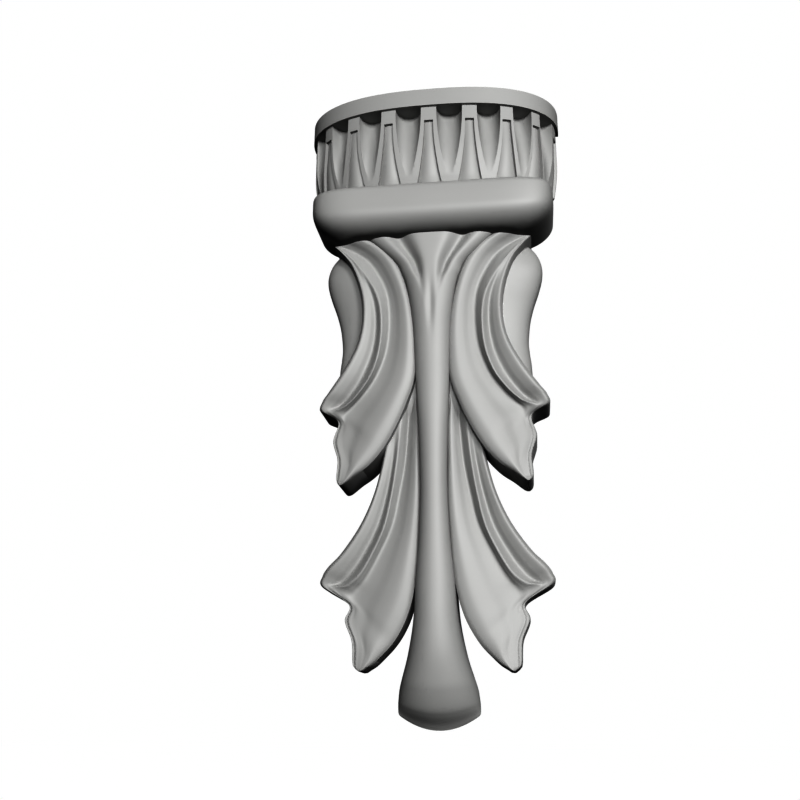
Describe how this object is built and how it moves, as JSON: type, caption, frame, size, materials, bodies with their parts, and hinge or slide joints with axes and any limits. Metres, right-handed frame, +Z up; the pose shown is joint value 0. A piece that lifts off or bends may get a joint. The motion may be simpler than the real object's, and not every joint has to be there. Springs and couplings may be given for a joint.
{
  "type": "carved corbel",
  "caption": "Carved corbel with acanthus leaves either side of a stem, under a fluted band and a cap plate, flat at the back where it meets the wall",
  "frame": {"origin": "the wall mount: on the flat back, on the centre line, 200 mm above the foot of the stem", "axes": "+X across the front, +Y into the wall, +Z up"},
  "size_m": [0.146, 0.0412, 0.3437],
  "materials": {
    "carving": "smooth satin"
  },
  "bodies": {
    "root": {"carved_corbel": "carving"}
  },
  "joints": []
}
